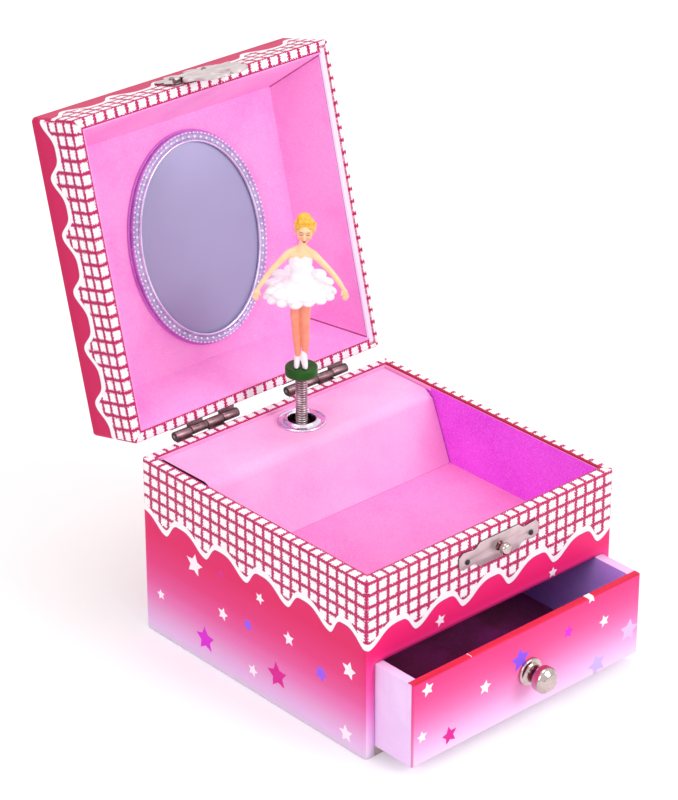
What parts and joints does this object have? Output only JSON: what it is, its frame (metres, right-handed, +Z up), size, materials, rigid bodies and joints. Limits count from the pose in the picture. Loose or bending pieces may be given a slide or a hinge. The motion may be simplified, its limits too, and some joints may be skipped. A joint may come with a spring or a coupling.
{
  "type": "music box",
  "caption": "Square wind-up music box with a mirrored lid, a tray, a drawer and a dancer that turns on a spring and folds under the lid.",
  "frame": {"origin": "centre of the box's underside", "axes": "+Z up, -Y towards the drawer front, +X to the right of a person facing the drawer"},
  "size_m": [0.12, 0.2069, 0.1972],
  "materials": {
    "print_paper": "satin",
    "greyboard": "matte",
    "flock_lining": "matte",
    "cover_card": "matte",
    "drawer_board": "satin",
    "nickel": "polished",
    "dark_nickel": "satin",
    "steel": "satin",
    "brass": "satin",
    "mirror": "polished",
    "frame_plastic": "gloss",
    "backing_card": "satin",
    "green_plastic": "gloss",
    "figure_plastic": "satin",
    "white_plastic": "satin"
  },
  "bodies": {
    "base": {"base_left_wall": "greyboard", "base_right_wall": "greyboard", "base_back_wall": "greyboard", "base_front_rail": "greyboard", "base_bottom": "greyboard", "tray_shelf": "greyboard", "base_wrap": "print_paper", "tray_lining": "flock_lining", "movement_cover": "cover_card", "spring_grommet": "nickel", "catch_plate": "nickel", "catch_pins": "nickel", "catch_knob": "nickel", "base_hinge_leaves": "dark_nickel", "base_hinge_nails": "dark_nickel", "hinge_pins": "dark_nickel", "bedplate": "brass", "movement_screws": "steel", "note_comb": "steel", "cylinder_brackets": "brass", "barrel_bridge": "brass", "governor_frame": "brass", "key_bush": "nickel", "click_spring": "steel"},
    "lid": {"lid_panel": "greyboard", "lid_side_walls": "greyboard", "lid_front_wall": "greyboard", "lid_back_wall": "greyboard", "lid_wrap": "print_paper", "lid_lining": "flock_lining", "mirror_backing": "backing_card", "mirror_glass": "mirror", "mirror_frame": "frame_plastic", "hasp_plate": "nickel", "hasp_pins": "nickel", "lid_hinge_leaves": "dark_nickel", "lid_hinge_nails": "dark_nickel"},
    "hasp": {"hasp_flap": "nickel"},
    "drawer": {"drawer_front": "greyboard", "drawer_sides": "drawer_board", "drawer_back": "drawer_board", "drawer_bottom": "drawer_board", "drawer_wrap": "print_paper", "drawer_lining": "flock_lining", "drawer_knob": "nickel", "knob_screw": "steel"},
    "barrel": {"spring_barrel": "steel", "mainspring": "steel"},
    "winder": {"winding_arbor": "steel", "winding_key": "nickel"},
    "cylinder": {"tune_cylinder": "brass"},
    "governor": {"governor_wheel": "brass"},
    "fan": {"governor_fan": "steel"},
    "spindle": {"dancer_spindle": "steel"},
    "dancer_stem": {"spring_column": "steel"},
    "dancer": {"dancer_disc": "green_plastic", "ballerina": "figure_plastic", "tutu": "white_plastic"}
  },
  "joints": [
    {"name": "lid_hinge", "type": "hinge", "parent": "base", "child": "lid", "pos_m": [0, 0.063, 0.0715], "axis": [1, 0, 0], "range_deg": [0, 104.18]},
    {"name": "hasp_swing", "type": "hinge", "parent": "lid", "child": "hasp", "pos_m": [0.002, 0.09612, 0.19154], "axis": [-1, 0, 0], "range_deg": [0, 140]},
    {"name": "drawer_slide", "type": "slide", "parent": "base", "child": "drawer", "axis": [0, -1, 0], "range_m": [-0.0188, 0.052]},
    {"name": "cylinder_turn", "type": "hinge", "parent": "base", "child": "cylinder", "pos_m": [-0.015, 0.044, 0.0545], "axis": [1, 0, 0], "continuous": true},
    {"name": "barrel_turn", "type": "hinge", "parent": "base", "child": "barrel", "pos_m": [0.003, 0.0508, 0.0545], "axis": [0, 1, 0], "continuous": true},
    {"name": "key_wind", "type": "hinge", "parent": "base", "child": "winder", "pos_m": [0.003, 0.061, 0.0545], "axis": [0, 1, 0], "continuous": true},
    {"name": "governor_turn", "type": "hinge", "parent": "base", "child": "governor", "pos_m": [-0.0286, 0.03753, 0.0498], "axis": [1, 0, 0], "continuous": true},
    {"name": "fan_spin", "type": "hinge", "parent": "base", "child": "fan", "pos_m": [-0.0286, 0.03403, 0.0498], "axis": [0, 0, 1], "continuous": true},
    {"name": "spindle_turn", "type": "hinge", "parent": "base", "child": "spindle", "pos_m": [0.003, 0.044, 0.0627], "axis": [0, 0, 1], "continuous": true},
    {"name": "dancer_fold", "type": "hinge", "parent": "base", "child": "dancer_stem", "pos_m": [0.003, 0.044, 0.073], "axis": [1, 0, 0], "range_deg": [0, 93.2], "deforming": ["spring_column"]},
    {"name": "dancer_spin", "type": "hinge", "parent": "dancer_stem", "child": "dancer", "pos_m": [0.003, 0.044, 0.09], "axis": [0, 0, 1], "continuous": true}
  ],
  "couplings": [
    {"joint": "dancer_fold", "follows": "lid_hinge", "ratio": 0.89269},
    {"joint": "barrel_turn", "follows": "cylinder_turn", "ratio": 0.41667},
    {"joint": "spindle_turn", "follows": "cylinder_turn", "ratio": -1},
    {"joint": "dancer_spin", "follows": "cylinder_turn", "ratio": -1},
    {"joint": "governor_turn", "follows": "cylinder_turn", "ratio": -4},
    {"joint": "fan_spin", "follows": "cylinder_turn", "ratio": -48}
  ]
}
